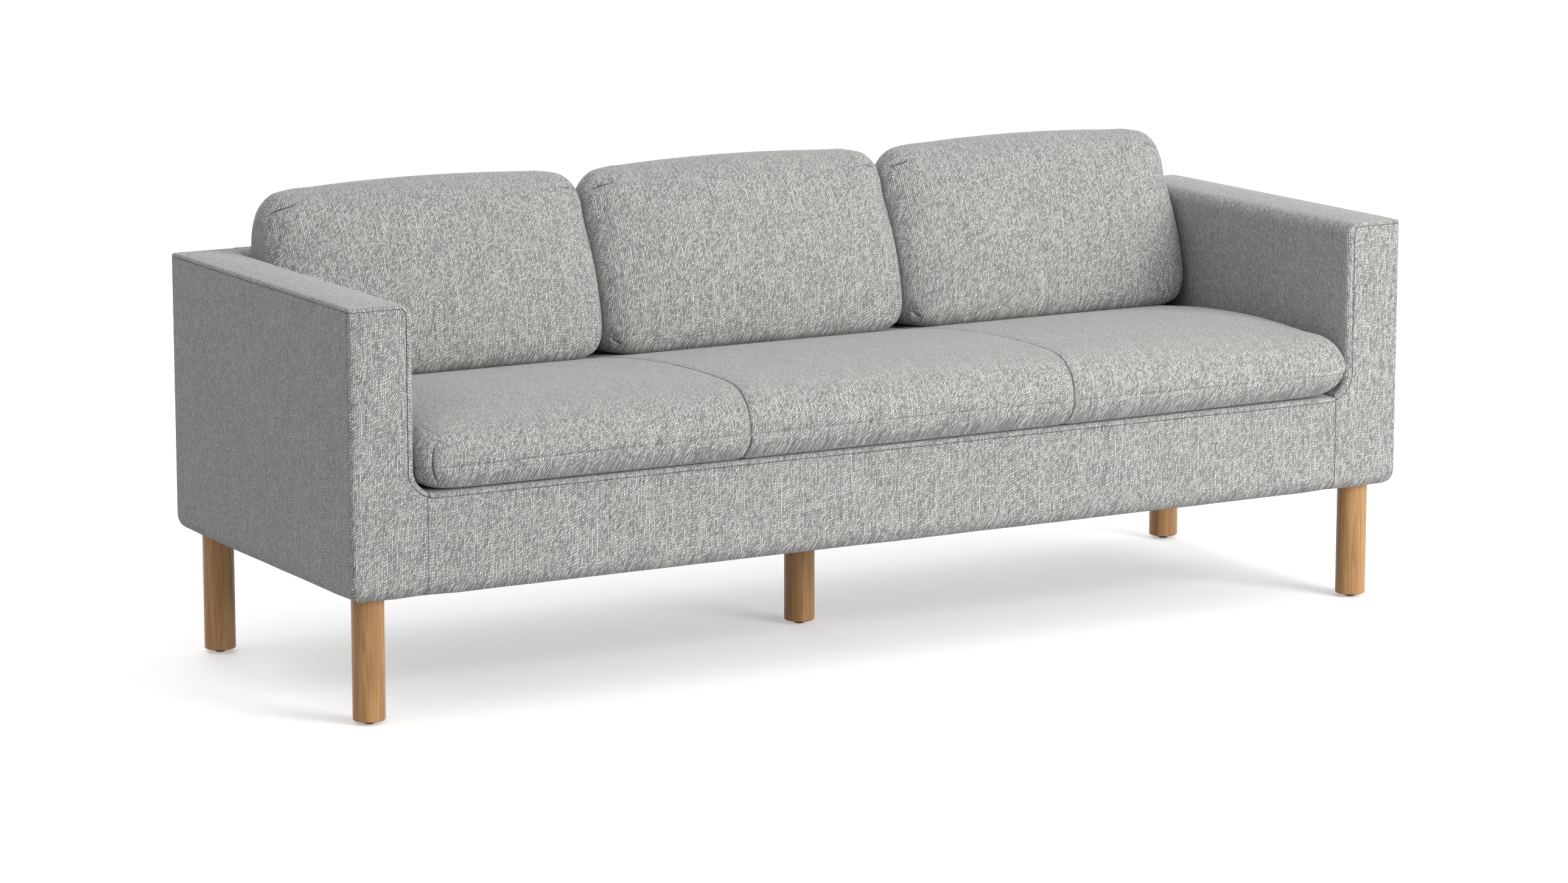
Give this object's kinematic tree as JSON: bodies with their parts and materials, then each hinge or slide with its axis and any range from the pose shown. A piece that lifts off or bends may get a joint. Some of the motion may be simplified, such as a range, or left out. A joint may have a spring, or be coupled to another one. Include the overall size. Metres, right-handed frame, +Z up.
{
  "type": "sofa",
  "caption": "Upholstered sofa with box arms, a long bench seat cushion, loose back cushions and round wooden legs.",
  "frame": {"origin": "on the floor, under the middle of the sofa's bounding box", "axes": "+X to the right as seen from the front along the sofa's length, +Y to the rear, +Z up"},
  "size_m": [1.955, 0.717, 0.767],
  "materials": {
    "grey_tweed": "matte",
    "deck_cloth": "matte",
    "dust_cloth": "matte",
    "foam": "matte",
    "webbing": "matte",
    "leg_oak": "satin",
    "frame_timber": "matte",
    "lining_board": "matte",
    "fastener_steel": "satin",
    "black_plastic": "matte"
  },
  "bodies": {
    "frame": {"arm_bolts": "fastener_steel", "back_cover_inner": "grey_tweed", "back_cover_outer": "grey_tweed", "back_foam": "foam", "back_inner_lining": "lining_board", "back_outer_lining": "lining_board", "back_top_rail": "frame_timber", "back_uprights": "frame_timber", "centre_cross_rail": "frame_timber", "deck_front_lip": "grey_tweed", "dust_cover": "dust_cloth", "front_rail_cover": "grey_tweed", "front_rail_foam": "foam", "front_seat_rail": "frame_timber", "glide_nails": "fastener_steel", "left_arm_base_board": "frame_timber", "left_arm_cover_front": "grey_tweed", "left_arm_cover_inner": "grey_tweed", "left_arm_cover_outer": "grey_tweed", "left_arm_foam": "foam", "left_arm_front_post": "frame_timber", "left_arm_inner_lining": "lining_board", "left_arm_outer_lining": "lining_board", "left_arm_rear_post": "frame_timber", "left_arm_top_rail": "frame_timber", "left_seat_rail": "frame_timber", "leg_centre": "leg_oak", "leg_front_left": "leg_oak", "leg_front_right": "leg_oak", "leg_glides": "black_plastic", "leg_hanger_bolts": "fastener_steel", "leg_inserts": "fastener_steel", "leg_rear_left": "leg_oak", "leg_rear_right": "leg_oak", "rear_seat_rail": "frame_timber", "right_arm_base_board": "frame_timber", "right_arm_cover_front": "grey_tweed", "right_arm_cover_inner": "grey_tweed", "right_arm_cover_outer": "grey_tweed", "right_arm_foam": "foam", "right_arm_front_post": "frame_timber", "right_arm_inner_lining": "lining_board", "right_arm_outer_lining": "lining_board", "right_arm_rear_post": "frame_timber", "right_arm_top_rail": "frame_timber", "right_seat_rail": "frame_timber", "seat_corner_blocks": "frame_timber", "seat_deck": "deck_cloth", "seat_webbing_crosswise": "webbing", "seat_webbing_lengthwise": "webbing"},
    "seat_cushion": {"seat_cushion_cover": "grey_tweed", "seat_cushion_core": "foam"},
    "back_cushion_left": {"back_cushion_left_cover": "grey_tweed", "back_cushion_left_core": "foam"},
    "back_cushion_centre": {"back_cushion_centre_cover": "grey_tweed", "back_cushion_centre_core": "foam"},
    "back_cushion_right": {"back_cushion_right_cover": "grey_tweed", "back_cushion_right_core": "foam"}
  },
  "joints": [
    {"name": "seat_cushion_lift", "type": "slide", "parent": "frame", "child": "seat_cushion", "axis": [0, 0, 1], "range_m": [0, 0.3]},
    {"name": "back_cushion_left_lift", "type": "slide", "parent": "seat_cushion", "child": "back_cushion_left", "axis": [0, 0, 1], "range_m": [0, 0.35]},
    {"name": "back_cushion_centre_lift", "type": "slide", "parent": "seat_cushion", "child": "back_cushion_centre", "axis": [0, 0, 1], "range_m": [0, 0.35]},
    {"name": "back_cushion_right_lift", "type": "slide", "parent": "seat_cushion", "child": "back_cushion_right", "axis": [0, 0, 1], "range_m": [0, 0.35]}
  ]
}
